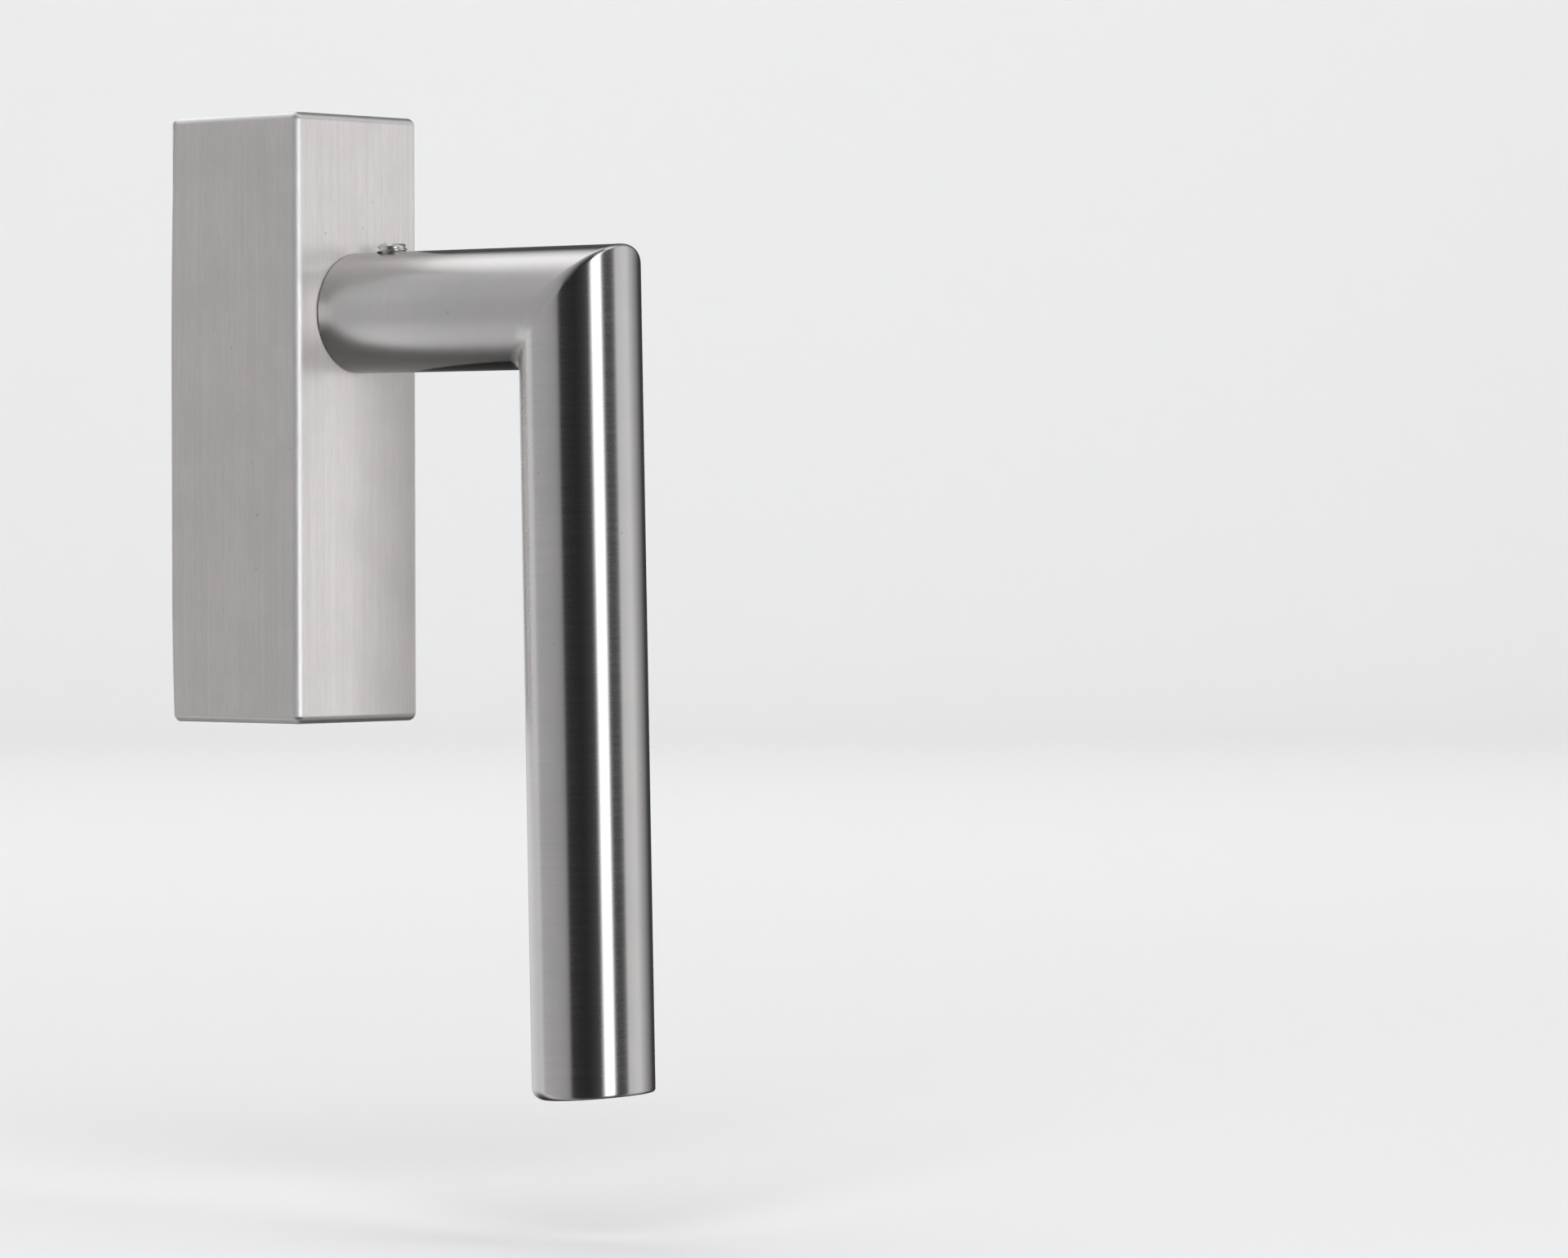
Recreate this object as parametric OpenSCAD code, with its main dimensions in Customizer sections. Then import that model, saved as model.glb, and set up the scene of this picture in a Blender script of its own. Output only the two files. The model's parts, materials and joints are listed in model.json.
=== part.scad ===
// Tilt and turn window handle: a brushed steel lever on a surface-mounted gear box.
// Turning the lever half a turn lifts a rack, whose two pins drive the locking rods in the sash.
// +Z is up and the room is towards -Y. The origin is on the spindle's axis, in the plane that
// lies on the window sash. A depth is a distance from that plane towards the room.

/* [Casing] */
// Width of the casing
casing_w = 29; // [29:0.5:40]
// Height of the casing
casing_h = 101; // [98:1:140]
// Depth of the casing, from the sash to its front face
casing_d = 29.5; // [29:0.5:38]
// Sheet thickness of the casing
casing_wall = 1.5; // [1:0.1:1.8]
// Radius of the casing's outer edges
casing_edge_r = 1.4; // [0.5:0.1:1.4]
// Height of the casing above the spindle's axis
axis_from_top = 33; // [33:0.5:45]

/* [Lever] */
// Outer diameter of the lever's tube
tube_d = 20; // [18.5:0.5:25]
// Wall thickness of the lever's tube
tube_wall = 2; // [1:0.1:2.2]
// Distance from the casing's front face to the grip's axis
neck_reach = 49.5; // [42:0.5:70]
// Length of the grip, from the neck's axis to its free end
grip_length = 127.5; // [90:0.5:170]
// Lean of the grip away from the window, in degrees
grip_splay = 1.2; // [0:0.1:4]
// Radius ground on the outer corner of the mitre
mitre_corner_r = 4; // [2:0.1:6]
// Thickness of the end cap's visible disc
cap_disc_t = 2.4; // [2:0.1:5]
// Radius of the end cap's rim
cap_rim_r = 1.8; // [0.5:0.1:1.9]
// Gap between the neck and the casing
neck_gap = 0.3; // [0.2:0.1:1]

/* [Spindle and gear] */
// Width across flats of the square spindle
spindle_af = 7; // [6:0.5:7.5]
// Module of the gear teeth
tooth_module = 1; // [0.95:0.01:1.03]
// Number of teeth on the pinion
pinion_teeth = 15; // [15:1:15]
// Pressure angle of the teeth, in degrees
pressure_angle = 25; // [22:1:27]
// Play between the meshing teeth
backlash = 0.12; // [0.08:0.01:0.25]
// Face width of the pinion
pinion_face = 8; // [6:0.5:8]

/* [Driver and fixings] */
// Diameter of the two driver pins
pin_d = 5; // [4:0.1:6]
// Distance between the driver pins
pin_spacing = 11; // [9.5:0.5:11.5]
// Length of the driver pins behind the sash plane
pin_reach = 10; // [6:1:16]
// Thread diameter of the two mounting screws
mount_screw_d = 5; // [4:0.5:5]
// Length of the mounting screws
mount_screw_l = 12; // [10:1:40]
// Thread diameter of the grub screw in the neck
grub_d = 5; // [4:0.5:6]
// Length of the grub screw
grub_l = 8; // [6:0.5:10]
// Distance of the grub screw from the casing's front face
grub_from_casing = 7.8; // [6:0.1:10]

/* [Hidden] */
$fn = 64;
eps = 0.01;
far = 300;

// Clearances
slip = 0.02;      // radial gap of a pressed or threaded fit
running = 0.04;   // radial gap of a turning fit
sliding = 0.2;    // gap beside a piece that slides
cover_gap = 0.15; // gap between the base plate and the casing

// Casing
inner_half_w = casing_w / 2 - casing_wall;
inner_top = axis_from_top - casing_wall;
inner_bottom = axis_from_top - casing_h + casing_wall;
front_inside = casing_d - casing_wall;

// Base plate
base_t = 4;
base_half_w = inner_half_w - cover_gap;
base_top = inner_top - cover_gap;
base_bottom = inner_bottom + cover_gap;
hook_w = 12;
hook_t = 1.3;
hook_rise = 1.4;
hook_gap = 0.3;

// Pinion and rack
pitch_r = tooth_module * pinion_teeth / 2;
base_circle_r = pitch_r * cos(pressure_angle);
tip_r = pitch_r + tooth_module;
root_r = pitch_r - 1.25 * tooth_module;
tooth_pitch = PI * tooth_module;
turn = 180;
travel = PI * pitch_r * turn / 180;
gear_gap = 0.4;
pinion_back = base_t + gear_gap;
pinion_front = pinion_back + pinion_face;
spindle_half_diagonal = spindle_af / sqrt(2);
socket_gap = 0.05;
journal_r = spindle_half_diagonal + 1.05;
bush_t = 1;
bush_r = journal_r + running + bush_t;
rear_bush_floor = 1.2;
rack_tip_x = pitch_r - tooth_module;
rack_root_x = pitch_r + 1.25 * tooth_module;
rack_back_x = rack_root_x + 2.25;
rack_overrun = 3.6;

// Housing over the pinion
housing_gap = 0.15;
housing_half_w = base_half_w - housing_gap;
housing_half_h = tip_r + 4.4;
pocket_front = pinion_front + 0.6;
housing_front = pocket_front + 3;
flange_t = 4;
flange_h = 5.6;
ear_w = 6;
ear_h = 7;

// Foot of the rack and its driver
foot_h = pin_spacing + pin_d;
foot_top = -housing_half_h - 0.3 - travel;
foot_bottom = foot_top - foot_h;
foot_mid = foot_top - foot_h / 2;
foot_t = 3;
foot_left_x = -6;
driver_w = pin_d + 3;
shank_r = pin_d / 2 - 0.5;
slot_end_gap = 1;

// Detent
disc_r = 9.2;
disc_t = 2;
disc_back = housing_front + 0.4;
disc_front = disc_back + disc_t;
leaf_t = 0.5;
leaf_h = 3;
leaf_z = disc_r + 1.3;
leaf_half_l = 11.3;
bump_r = 1.7;
notch_r = bump_r + 0.15;
post_inner_x = 10.2;
post_outer_x = 12.4;
post_h = 3.1;

// Washer and ring that keep the disc on the spindle
washer_t = 0.7;
washer_back = disc_front + 0.1;
ring_t = 0.8;
ring_back = washer_back + washer_t + 0.1;
groove_r = spindle_half_diagonal - 0.75;
ring_r = groove_r + 2.8;
ring_mouth = 6;

// Neck
tube_r = tube_d / 2;
bore_r = tube_r - tube_wall;
neck_start = casing_d + neck_gap;
elbow_depth = casing_d + neck_reach;
mitre = 45 - grip_splay / 2;
corner_bite = 12; // angle in degrees at which the ground corner meets the tube
insert_l = 20;
insert_end = neck_start + insert_l;
spigot_r = 7;
spigot_back = front_inside - 2.6;
spindle_back = 1.8;
spindle_front = insert_end - 4;
guide_flange_t = 1.6;
guide_flange_r = spigot_r + 3.4;
guide_collar_r = spigot_r + 1.5;
guide_recess = 0.2;
grub_depth = casing_d + grub_from_casing;
dimple_depth = 0.4;
grub_tip_z = spindle_af / 2 - dimple_depth + 0.2;

// Screws: thread diameter, head radius, head height
M3 = [3, 2.8, 1.4];
mount_screw = [mount_screw_d, mount_screw_d * 0.92, mount_screw_d * 0.5];
mount_top_z = axis_from_top - 9;
mount_bottom_z = base_bottom + 5.35;
mount_hole_r = mount_screw_d / 2 + 0.15;
casing_screw_x = 9;
casing_screw_depth = base_t + 2.4;
boss_w = 6;
boss_h = 5.2;
boss_front = casing_screw_depth + 3.6;
housing_screws_at = [
    [-housing_half_w + 3.1, housing_half_h + flange_h / 2],
    [2.2, housing_half_h + flange_h / 2],
    [-housing_half_w + ear_w / 2, -housing_half_h - ear_h / 2],
];

// ---- Helpers ----

// Draws a profile given in x and z from one depth to another.
module layer(back, front) {
    translate([0, -back, 0]) rotate([90, 0, 0]) linear_extrude(front - back) children();
}

// Turns a shape that is built along +Z to point at the room from the given depth.
module facing_room(depth) {
    translate([0, -depth, 0]) rotate([90, 0, 0]) children();
}

// Extrudes a profile given in y and z along X, centred.
module across(width) {
    rotate([90, 0, 90]) linear_extrude(width, center = true) children();
}

// A rectangle given by its corners.
module span(x0, x1, z0, z1) {
    translate([x0, z0]) square([x1 - x0, z1 - z0]);
}

// A rectangle from the origin's left to its right with two rounded corners on its far side.
module front_rounded(half_w, depth, r) {
    span(-half_w, half_w, 0, depth - r);
    span(-half_w + r, half_w - r, 0, depth);
    for (side = [-1, 1]) translate([side * (half_w - r), depth - r]) circle(r);
}

// A rectangle with four rounded corners.
module rounded_rect(x0, x1, z0, z1, r) {
    span(x0 + r, x1 - r, z0, z1);
    span(x0, x1, z0 + r, z1 - r);
    for (x = [x0 + r, x1 - r], z = [z0 + r, z1 - r]) translate([x, z]) circle(r);
}

// A countersunk screw with its head's face at z = 0 and its shank below.
module countersunk_screw(size, length, key_af) {
    thread_d = size[0];
    difference() {
        union() {
            translate([0, 0, -size[2]]) cylinder(r1 = thread_d / 2, r2 = size[1], h = size[2]);
            translate([0, 0, -length]) cylinder(d = thread_d, h = length - size[2] + eps);
        }
        translate([0, 0, -size[2] * 0.75])
            cylinder(d = key_af / cos(30), h = size[2], $fn = 6);
    }
}

// The hole for such a screw, with its countersink.
module countersunk_hole(size, length, gap) {
    translate([0, 0, -size[2]])
        cylinder(r1 = size[0] / 2 + gap, r2 = size[1] + gap, h = size[2] + eps);
    translate([0, 0, -length]) cylinder(r = size[0] / 2 + gap, h = length);
}

// ---- Gear teeth ----

function roll(r) = r > base_circle_r ? sqrt(pow(r / base_circle_r, 2) - 1) : 0;
function involute_angle(r) = roll(r) * 180 / PI - atan(roll(r));
function tooth_half_angle(r) =
    90 / pinion_teeth - backlash / 4 / pitch_r * 180 / PI
    + involute_angle(pitch_r) - involute_angle(r);
function polar(r, a) = [r * cos(a), r * sin(a)];

flank_steps = 8;
flank_radii = [for (i = [0 : flank_steps]) root_r + (tip_r - root_r) * i / flank_steps];

module pinion_profile() {
    polygon([for (t = [0 : pinion_teeth - 1]) each concat(
        [for (r = flank_radii) polar(r, t * 360 / pinion_teeth - tooth_half_angle(r))],
        [for (i = [flank_steps : -1 : 0])
            polar(flank_radii[i], t * 360 / pinion_teeth + tooth_half_angle(flank_radii[i]))]
    )]);
}

rack_teeth = ceil((travel + rack_overrun) / tooth_pitch) + 1;
rack_top = tooth_pitch;
rack_half_tip = tooth_pitch / 4 - tooth_module * tan(pressure_angle) - backlash / 4;
rack_half_root = tooth_pitch / 4 + 1.25 * tooth_module * tan(pressure_angle) - backlash / 4;

// The rack's teeth point at the pinion. At rest a space between two teeth faces its axis.
module rack_profile() {
    polygon(concat(
        [[rack_back_x, foot_bottom], [rack_back_x, rack_top], [rack_root_x, rack_top]],
        [for (t = [0 : rack_teeth - 1]) let (z = (0.5 - t) * tooth_pitch) each [
            [rack_root_x, z + rack_half_root], [rack_tip_x, z + rack_half_tip],
            [rack_tip_x, z - rack_half_tip], [rack_root_x, z - rack_half_root],
        ]],
        [[rack_root_x, foot_bottom]]
    ));
}

// ---- Casing and fixed pieces ----

module casing_body() {
    intersection() {
        layer(0, casing_d)
            rounded_rect(-casing_w / 2, casing_w / 2, axis_from_top - casing_h, axis_from_top,
                         casing_edge_r);
        translate([0, 0, axis_from_top - casing_h]) linear_extrude(casing_h)
            mirror([0, 1]) front_rounded(casing_w / 2, casing_d, casing_edge_r);
        translate([0, 0, axis_from_top - casing_h / 2])
            across(casing_w) rotate(90) front_rounded(casing_h / 2, casing_d, casing_edge_r);
    }
}

module at_casing_screws() {
    for (side = [-1, 1])
        translate([side * casing_screw_x, -casing_screw_depth, axis_from_top - casing_h])
            rotate([180, 0, 0]) children();
}

module casing_screw_holes(length) {
    at_casing_screws() countersunk_hole(M3, length, slip);
}

module casing() {
    color("silver") {
        difference() {
            casing_body();
            layer(-eps, front_inside)
                span(-inner_half_w, inner_half_w, inner_bottom, inner_top);
            layer(front_inside - eps, casing_d + eps) circle(guide_collar_r + slip);
            casing_screw_holes(casing_wall + 1);
        }
        layer(hook_gap, hook_gap + hook_t)
            span(-hook_w / 2, hook_w / 2, inner_top - hook_rise, inner_top + eps);
    }
}

module base_plate() {
    color("darkgray") difference() {
        union() {
            layer(0, base_t) span(-base_half_w, base_half_w, base_bottom, base_top);
            for (side = [-1, 1])
                layer(0, boss_front)
                    translate([side * casing_screw_x - boss_w / 2, base_bottom])
                        square([boss_w, boss_h]);
        }
        // Slot in which the driver travels
        layer(-eps, base_t + eps)
            span(-driver_w / 2 - sliding, driver_w / 2 + sliding,
                 foot_bottom - slot_end_gap, foot_top + travel + slot_end_gap);
        // Seat of the rear bush
        layer(rear_bush_floor, base_t + eps) circle(bush_r);
        for (z = [mount_top_z, mount_bottom_z])
            translate([0, 0, z]) facing_room(base_t)
                countersunk_hole(mount_screw, base_t + eps, mount_hole_r - mount_screw_d / 2);
        for (p = housing_screws_at)
            layer(-eps, base_t + eps) translate(p) circle(M3[0] / 2 + slip);
        casing_screw_holes(casing_wall + cover_gap + boss_h + 1);
        // Rebate behind which the casing's hook sits
        layer(-eps, hook_gap + hook_t + cover_gap)
            span(-hook_w / 2 - cover_gap, hook_w / 2 + cover_gap,
                 inner_top - hook_rise - cover_gap, base_top + eps);
    }
}

module detent_post_profile() {
    difference() {
        span(post_inner_x, min(post_outer_x, housing_half_w),
             leaf_z - post_h / 2 + leaf_t / 2, leaf_z + post_h / 2 + leaf_t / 2);
        span(post_inner_x - eps, leaf_half_l + cover_gap,
             leaf_z - cover_gap, leaf_z + leaf_t + cover_gap);
    }
}

module gear_housing() {
    color("gray") difference() {
        union() {
            layer(base_t, housing_front)
                span(-housing_half_w, housing_half_w, -housing_half_h, housing_half_h);
            layer(base_t, base_t + flange_t)
                span(-housing_half_w, rack_tip_x - 1, housing_half_h - eps,
                     housing_half_h + flange_h);
            layer(base_t, base_t + flange_t)
                span(-housing_half_w, -housing_half_w + ear_w, -housing_half_h - ear_h,
                     -housing_half_h + eps);
            for (x = [0, 1], z = [0, 1])
                layer(housing_front - eps, housing_front + leaf_h + 0.2)
                    mirror([x, 0]) mirror([0, z]) detent_post_profile();
        }
        // Pocket for the pinion and channel for the rack
        layer(base_t - eps, pocket_front) circle(tip_r + 0.5);
        layer(base_t - eps, pinion_front + sliding)
            span(rack_tip_x - sliding, rack_back_x + sliding, -housing_half_h - eps,
                 housing_half_h + eps);
        // Seat of the front bush
        layer(pocket_front - eps, housing_front + eps) circle(bush_r);
        for (p = housing_screws_at)
            translate([p[0], 0, p[1]]) facing_room(base_t + flange_t)
                countersunk_hole(M3, flange_t + eps, slip);
    }
}

module bush(back, front) {
    color("goldenrod") layer(back, front) difference() {
        circle(bush_r);
        circle(journal_r + running);
    }
}

module rear_bush() { bush(rear_bush_floor, base_t); }
module front_bush() { bush(pocket_front, housing_front); }

module neck_guide_ring() {
    color("dimgray") difference() {
        union() {
            layer(front_inside - guide_flange_t, front_inside) circle(guide_flange_r);
            layer(front_inside - eps, casing_d - guide_recess) circle(guide_collar_r);
        }
        layer(front_inside - guide_flange_t - eps, casing_d) circle(spigot_r + running);
    }
}

// A leaf spring whose rounded bump rests in a notch of the detent disc.
module detent_leaf_profile() {
    leaf_top = leaf_z + leaf_t;
    difference() {
        union() {
            span(-leaf_half_l, leaf_half_l, leaf_z, leaf_top);
            translate([0, leaf_z]) circle(bump_r);
        }
        translate([0, leaf_z]) circle(bump_r - leaf_t);
        span(-2 * bump_r, 2 * bump_r, leaf_top, leaf_top + 2 * bump_r);
    }
}

module detent_springs() {
    color("lightsteelblue") layer(housing_front + 0.2, housing_front + leaf_h)
        for (side = [0, 1]) mirror([0, side]) detent_leaf_profile();
}

module housing_screws() {
    color("lightgray") for (p = housing_screws_at)
        translate([p[0], 0, p[1]]) facing_room(base_t + flange_t)
            countersunk_screw(M3, base_t + flange_t - 0.5, 2);
}

module casing_screws() {
    color("lightgray") at_casing_screws()
        countersunk_screw(M3, casing_wall + cover_gap + boss_h - 0.6, 2);
}

// Captive screws: their shanks are thinner in the plate than their threads behind it.
module mounting_screws() {
    color("lightgray") for (z = [mount_top_z, mount_bottom_z]) translate([0, 0, z]) {
        facing_room(base_t)
            countersunk_screw([mount_screw_d - 0.6, mount_screw[1], mount_screw[2]],
                              base_t + 0.5, mount_screw_d * 0.6);
        facing_room(0) translate([0, 0, base_t - mount_screw_l])
            cylinder(d = mount_screw_d, h = mount_screw_l - base_t - 0.2);
    }
}

// ---- Lever ----

// Moves a shape to the elbow and turns its -Y towards the grip's free end.
module at_grip() {
    translate([0, -elbow_depth, 0]) rotate([90 - grip_splay, 0, 0]) children();
}

// Half of space on the neck's or the grip's side of the mitre.
module mitre_side(grip) {
    translate([0, -elbow_depth, 0]) rotate([mitre, 0, 0])
        translate([-far / 2, grip ? -far : 0, -far / 2]) cube(far);
}

// Two rods of one radius that meet in a mitre. Each circle starts at the mitre's corners.
module mitred_rod(r, start, length) {
    intersection() {
        layer(start, elbow_depth + 2 * r) rotate(90) circle(r);
        mitre_side(false);
    }
    intersection() {
        at_grip() layer(-2 * r, length) rotate(90) circle(r);
        mitre_side(true);
    }
}

// What grinding takes off the outer corner of the mitre.
module corner_waste() {
    arc_z = (tube_r - mitre_corner_r * cos(corner_bite)) / cos(mitre);
    wedge = mitre + corner_bite + 3;
    reach = 3 * mitre_corner_r;
    translate([0, -elbow_depth, 0]) rotate([mitre, 0, 0]) translate([0, 0, arc_z])
        across(tube_d) difference() {
            polygon([[0, 0], reach * [sin(wedge), cos(wedge)], [0, reach],
                     reach * [-sin(wedge), cos(wedge)]]);
            circle(mitre_corner_r);
        }
}

module lever_tube() {
    color("lightgray") difference() {
        mitred_rod(tube_r, neck_start, grip_length - cap_disc_t);
        mitred_rod(bore_r, neck_start - 1, grip_length);
        corner_waste();
        translate([0, -grub_depth, 0]) cylinder(r = grub_d / 2 + 0.1, h = tube_d);
    }
}

// A plug in the grip's free end, with a rounded rim flush with the tube.
module grip_end_cap() {
    color("lightgray") at_grip() facing_room(grip_length) rotate_extrude() {
        span(0, tube_r, -cap_disc_t, -cap_rim_r);
        span(0, tube_r - cap_rim_r, -cap_disc_t, 0);
        intersection() {
            translate([tube_r - cap_rim_r, -cap_rim_r]) circle(cap_rim_r);
            span(0, tube_r, -cap_disc_t, 0);
        }
        span(0, bore_r - slip, -cap_disc_t - 5, -cap_disc_t + eps);
    }
}

module neck_insert() {
    color("darkgray") difference() {
        union() {
            layer(neck_start, insert_end) circle(bore_r - slip);
            layer(spigot_back, neck_start + eps) circle(spigot_r);
        }
        layer(spigot_back - eps, spindle_front + 0.5)
            square(spindle_af + 2 * socket_gap, center = true);
        translate([0, -grub_depth, 0]) cylinder(r = grub_d / 2 + slip, h = tube_d);
    }
}

module grub_screw() {
    chamfer = 0.5;
    color("silver") translate([0, -grub_depth, grub_tip_z]) difference() {
        union() {
            cylinder(r1 = grub_d / 2 - 2 * chamfer, r2 = grub_d / 2, h = 2 * chamfer);
            translate([0, 0, 2 * chamfer - eps])
                cylinder(d = grub_d, h = grub_l - 3 * chamfer + 2 * eps);
            translate([0, 0, grub_l - chamfer])
                cylinder(r1 = grub_d / 2, r2 = grub_d / 2 - chamfer, h = chamfer);
        }
        translate([0, 0, grub_l - 2.5]) cylinder(d = grub_d / 2 / cos(30), h = 3, $fn = 6);
    }
}

module spindle() {
    color("gainsboro") difference() {
        union() {
            layer(spindle_back, ring_back) square(spindle_af, center = true);
            layer(ring_back - eps, ring_back + ring_t + eps) intersection() {
                square(spindle_af, center = true);
                circle(groove_r);
            }
            layer(ring_back + ring_t, spindle_front) square(spindle_af, center = true);
        }
        translate([0, -grub_depth, spindle_af / 2 - dimple_depth])
            cylinder(d = 4, h = spindle_af);
    }
}

module pinion() {
    color("slategray") difference() {
        union() {
            layer(pinion_back, pinion_front) pinion_profile();
            layer(rear_bush_floor + 0.3, pinion_back + eps) circle(journal_r);
            layer(pinion_front - eps, housing_front) circle(journal_r);
        }
        layer(0, housing_front + eps) square(spindle_af + 2 * socket_gap, center = true);
    }
}

module detent_disc() {
    color("slategray") layer(disc_back, disc_front) difference() {
        circle(disc_r);
        square(spindle_af + 2 * socket_gap, center = true);
        for (a = [0 : 90 : 270]) rotate(a) translate([0, leaf_z]) circle(notch_r);
    }
}

module thrust_washer() {
    color("gainsboro") layer(washer_back, washer_back + washer_t) difference() {
        circle(disc_r - 0.7);
        circle(spindle_half_diagonal + 0.2);
    }
}

module retaining_ring() {
    color("dimgray") layer(ring_back, ring_back + ring_t) difference() {
        circle(ring_r);
        circle(groove_r + slip);
        span(-ring_mouth / 2, ring_mouth / 2, -ring_r - 1, 0);
    }
}

// ---- Rack and driver ----

module rack() {
    color("slategray") difference() {
        union() {
            layer(pinion_back, pinion_front) rack_profile();
            layer(pinion_back, pinion_back + foot_t)
                span(foot_left_x, rack_back_x, foot_bottom, foot_top);
        }
        for (side = [-1, 1])
            layer(pinion_back - eps, pinion_back + foot_t + eps)
                translate([0, foot_mid + side * pin_spacing / 2]) circle(shank_r + slip);
        translate([0, 0, foot_mid]) facing_room(pinion_back + foot_t)
            countersunk_hole(M3, foot_t + eps, slip);
    }
}

module driver_block() {
    color("darkgray") layer(gear_gap, pinion_back) difference() {
        span(-driver_w / 2, driver_w / 2, foot_bottom, foot_top);
        for (side = [-1, 1]) translate([0, foot_mid + side * pin_spacing / 2])
            circle(shank_r + slip);
        translate([0, foot_mid]) circle(M3[0] / 2 + slip);
    }
}

// Shouldered pins, whose thinner shanks are pressed through the block and the rack's foot.
module driver_pins() {
    chamfer = 0.5;
    color("silver") for (side = [-1, 1])
        translate([0, 0, foot_mid + side * pin_spacing / 2]) rotate([90, 0, 0]) {
            cylinder(r = shank_r, h = pinion_back + foot_t - 0.2);
            translate([0, 0, -pin_reach + chamfer])
                cylinder(d = pin_d, h = pin_reach - chamfer + gear_gap);
            translate([0, 0, -pin_reach])
                cylinder(r1 = pin_d / 2 - chamfer, r2 = pin_d / 2, h = chamfer + eps);
        }
}

module driver_screw() {
    color("lightgray") translate([0, 0, foot_mid]) facing_room(pinion_back + foot_t)
        countersunk_screw(M3, foot_t + base_t - gear_gap - 0.6, 2);
}

casing();
base_plate();
gear_housing();
rear_bush();
front_bush();
neck_guide_ring();
detent_springs();
housing_screws();
casing_screws();
mounting_screws();
lever_tube();
grip_end_cap();
neck_insert();
grub_screw();
spindle();
pinion();
detent_disc();
thrust_washer();
retaining_ring();
rack();
driver_block();
driver_pins();
driver_screw();
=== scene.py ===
import json
import math

import bmesh
import bpy
from mathutils import Matrix, Vector


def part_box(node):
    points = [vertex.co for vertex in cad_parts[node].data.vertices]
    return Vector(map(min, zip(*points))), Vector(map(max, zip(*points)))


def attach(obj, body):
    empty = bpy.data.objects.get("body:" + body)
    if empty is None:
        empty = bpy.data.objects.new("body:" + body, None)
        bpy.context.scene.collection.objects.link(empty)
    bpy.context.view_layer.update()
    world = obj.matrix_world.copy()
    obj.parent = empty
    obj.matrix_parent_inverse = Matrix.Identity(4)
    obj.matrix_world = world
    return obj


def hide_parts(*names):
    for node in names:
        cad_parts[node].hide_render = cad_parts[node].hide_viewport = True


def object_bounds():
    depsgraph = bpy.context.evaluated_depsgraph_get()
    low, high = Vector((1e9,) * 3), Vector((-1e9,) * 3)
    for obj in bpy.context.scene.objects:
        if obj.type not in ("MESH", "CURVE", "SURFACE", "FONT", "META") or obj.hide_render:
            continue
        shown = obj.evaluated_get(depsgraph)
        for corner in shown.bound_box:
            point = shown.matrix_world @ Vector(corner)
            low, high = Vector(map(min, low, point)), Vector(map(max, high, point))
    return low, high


MM = 0.001

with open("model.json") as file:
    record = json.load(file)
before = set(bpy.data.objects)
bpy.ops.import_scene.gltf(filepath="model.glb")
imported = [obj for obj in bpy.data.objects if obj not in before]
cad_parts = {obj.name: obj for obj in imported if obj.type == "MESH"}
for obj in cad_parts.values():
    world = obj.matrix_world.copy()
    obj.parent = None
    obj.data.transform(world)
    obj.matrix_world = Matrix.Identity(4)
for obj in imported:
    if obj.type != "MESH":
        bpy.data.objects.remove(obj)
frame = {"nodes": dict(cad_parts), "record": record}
nodes = frame["nodes"]
cad_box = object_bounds()


# ---- Nodes ----


def set_inputs(tree, made, inputs):
    """Sets a node's inputs. An input is a value, or an output socket to link."""
    for key, value in inputs.items():
        if isinstance(value, bpy.types.NodeSocket):
            tree.links.new(value, made.inputs[key])
        else:
            made.inputs[key].default_value = value


def add_node(tree, kind, inputs=None, **settings):
    """A shader node with its settings and inputs."""
    made = tree.nodes.new(kind)
    for key, value in settings.items():
        setattr(made, key, value)
    set_inputs(tree, made, inputs or {})
    return made


def calc(tree, operation, a, b=0.0, c=0.0):
    return add_node(
        tree, "ShaderNodeMath", {0: a, 1: b, 2: c}, operation=operation
    ).outputs[0]


def dot(tree, a, b):
    return add_node(
        tree, "ShaderNodeVectorMath", {0: a, 1: b}, operation="DOT_PRODUCT"
    ).outputs["Value"]


def remap(tree, value, low, high, to_low=0.0, to_high=1.0):
    """value from low..high to to_low..to_high, clamped and eased."""
    return add_node(
        tree,
        "ShaderNodeMapRange",
        {
            "Value": value,
            "From Min": low,
            "From Max": high,
            "To Min": to_low,
            "To Max": to_high,
        },
        interpolation_type="SMOOTHSTEP",
    ).outputs["Result"]


def noise(tree, vector, scale, detail=2.0, roughness=0.5):
    return add_node(
        tree,
        "ShaderNodeTexNoise",
        {"Vector": vector, "Scale": scale, "Detail": detail, "Roughness": roughness},
    ).outputs["Fac"]


def in_mm(tree, place):
    """A place in metres as millimetres, so that noise scales count per millimetre."""
    return add_node(
        tree, "ShaderNodeVectorMath", {0: place, "Scale": 1 / MM}, operation="SCALE"
    ).outputs["Vector"]


def stretched(tree, vector, scale, offset=(0.0, 0.0, 0.0)):
    return add_node(
        tree,
        "ShaderNodeMapping",
        {"Vector": vector, "Scale": scale, "Location": offset},
    ).outputs["Vector"]


def mix_colour(tree, factor, a, b):
    """Colour a where factor is 0 and colour b where it is 1."""
    made = add_node(tree, "ShaderNodeMix", data_type="RGBA")
    set_inputs(tree, made, {0: factor, 6: a, 7: b})
    return made.outputs[2]


def covered(tree, base, mask, share, colour):
    """base, with a share of another colour over it where mask is 1."""
    return mix_colour(tree, calc(tree, "MULTIPLY", mask, share), base, colour)


def uneven(tree, middle, spread, fine, fine_range, broad, drift):
    """A value that fine noise spreads about its middle and broad noise drifts."""
    return calc(
        tree,
        "ADD",
        remap(tree, fine, *fine_range, middle - spread, middle + spread),
        calc(tree, "MULTIPLY", calc(tree, "SUBTRACT", broad, 0.5), drift),
    )


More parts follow.
